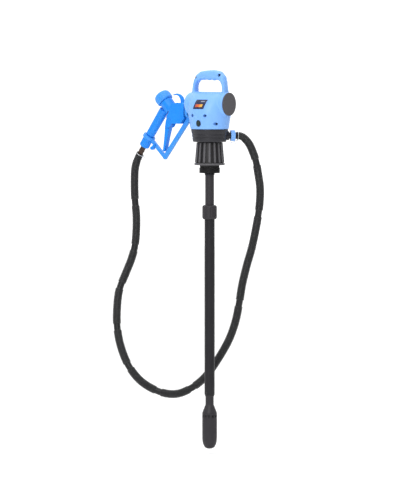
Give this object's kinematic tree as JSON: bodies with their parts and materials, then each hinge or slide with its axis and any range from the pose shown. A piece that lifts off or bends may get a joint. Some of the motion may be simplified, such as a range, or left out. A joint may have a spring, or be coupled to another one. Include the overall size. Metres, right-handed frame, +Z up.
{
  "type": "drum barrel pump",
  "caption": "Hand-held battery drum pump with a telescoping suction tube, a bung adaptor, a corrugated hose and a trigger nozzle on its holder.",
  "frame": {"origin": "centre of the bung seat, on the underside of the ribbed bung adaptor", "axes": "+Z up along the suction tube, +X toward the battery cap, -Y toward the switch and label"},
  "size_m": [0.4514, 0.1935, 1.1],
  "materials": {
    "blue_plastic": "moulded, semi-gloss",
    "pale_blue_plastic": "moulded, semi-gloss",
    "black_plastic": "moulded, fine texture",
    "grey_plastic": "moulded, matte",
    "rubber": "matt",
    "steel": "plated",
    "brass": "bright",
    "board": "solder mask",
    "cell_skin": "printed sleeve, plain",
    "label_film": "printed film with plain coloured bands"
  },
  "bodies": {
    "pump_head": {"head_front_shell": "blue_plastic", "head_rear_shell": "blue_plastic", "head_screw_1": "steel", "head_screw_2": "steel", "head_screw_3": "steel", "head_screw_4": "steel", "head_screw_5": "steel", "head_screw_6": "steel", "battery_tube": "black_plastic", "battery_contact_plate": "brass", "battery_cell_1": "cell_skin", "battery_cell_2": "cell_skin", "battery_cell_3": "cell_skin", "battery_cell_4": "cell_skin", "battery_cell_5": "cell_skin", "battery_cell_6": "cell_skin", "switch_bezel": "black_plastic", "switch_body": "black_plastic", "label_plate": "label_film", "control_board": "board", "outlet_housing": "black_plastic", "outlet_barb": "black_plastic", "upper_tube": "black_plastic", "tube_retaining_ring": "steel", "motor_lead": "rubber", "nozzle_holder": "black_plastic", "holder_screw_1": "steel", "holder_screw_2": "steel", "hose": "rubber", "outlet_hose_clamp": "steel"},
    "battery_cap": {"battery_cap": "grey_plastic", "battery_cap_contact": "brass", "battery_cap_seal": "rubber"},
    "switch_rocker": {"switch_rocker": "rubber"},
    "outlet_union_nut": {"outlet_union_nut": "blue_plastic"},
    "bung_adaptor": {"bung_adaptor": "black_plastic", "bung_seal": "rubber"},
    "lower_tube": {"lower_tube": "black_plastic", "tube_seal": "rubber", "pump_casing": "black_plastic", "motor_cup": "black_plastic", "motor_seal_plate": "rubber", "pump_motor": "steel"},
    "lock_nut": {"lock_nut": "black_plastic"},
    "impeller": {"impeller": "brass"},
    "nozzle": {"nozzle_body": "blue_plastic", "valve_cap": "pale_blue_plastic", "trigger_pin": "steel", "trigger_guard": "pale_blue_plastic", "nozzle_barb": "black_plastic", "nozzle_spout": "black_plastic", "nozzle_hose_clamp": "steel"},
    "trigger": {"trigger": "blue_plastic"},
    "valve_poppet": {"valve_poppet": "brass", "valve_spring": "steel"},
    "hold_open_latch": {"hold_open_latch": "blue_plastic"},
    "swivel_nut": {"swivel_nut": "blue_plastic"}
  },
  "joints": [
    {"name": "bung_spin", "type": "hinge", "parent": "pump_head", "child": "bung_adaptor", "pos_m": [0, 0, 0.03], "axis": [0, 0, 1], "continuous": true},
    {"name": "tube_extend", "type": "slide", "parent": "pump_head", "child": "lower_tube", "axis": [0, 0, -1], "range_m": [-0.08, 0.3], "deforming": ["motor_lead"]},
    {"name": "lock_nut_turn", "type": "hinge", "parent": "lower_tube", "child": "lock_nut", "pos_m": [0, 0, -0.136], "axis": [0, 0, 1], "continuous": true},
    {"name": "impeller_spin", "type": "hinge", "parent": "lower_tube", "child": "impeller", "pos_m": [0, 0, -0.74], "axis": [0, 0, 1], "continuous": true},
    {"name": "battery_cap_twist", "type": "hinge", "parent": "pump_head", "child": "battery_cap", "pos_m": [0.066, 0, 0.177], "axis": [1, 0, 0], "range_deg": [0, 60]},
    {"name": "switch_rock", "type": "hinge", "parent": "pump_head", "child": "switch_rocker", "pos_m": [0, -0.055, 0.122], "axis": [1, 0, 0], "range_deg": [-6, 6]},
    {"name": "union_nut_turn", "type": "hinge", "parent": "pump_head", "child": "outlet_union_nut", "pos_m": [0.04808, 0.04808, 0.085], "axis": [0.7071, 0.7071, 0], "continuous": true},
    {"name": "nozzle_lift", "type": "slide", "parent": "pump_head", "child": "nozzle", "axis": [0, 0, 1], "range_m": [0, 0.1]},
    {"name": "trigger_squeeze", "type": "hinge", "parent": "nozzle", "child": "trigger", "pos_m": [-0.182, 0.066, 0.116], "axis": [0, 1, 0], "range_deg": [0, 7], "stiffness_Nm_per_rad": 1, "springref_deg": -14.32},
    {"name": "valve_lift", "type": "slide", "parent": "nozzle", "child": "valve_poppet", "axis": [-0.6568, 0, 0.7541], "range_m": [0, 0.0042]},
    {"name": "latch_swing", "type": "hinge", "parent": "nozzle", "child": "hold_open_latch", "pos_m": [-0.233, 0.066, 0.0526], "axis": [0, 1, 0], "range_deg": [0, 35]},
    {"name": "swivel_turn", "type": "hinge", "parent": "nozzle", "child": "swivel_nut", "pos_m": [-0.265, 0.066, 0.0651], "axis": [0.5466, 0, 0.8374], "continuous": true}
  ],
  "couplings": [
    {"joint": "valve_lift", "follows": "trigger_squeeze", "m_per_rad": 0.03274}
  ]
}
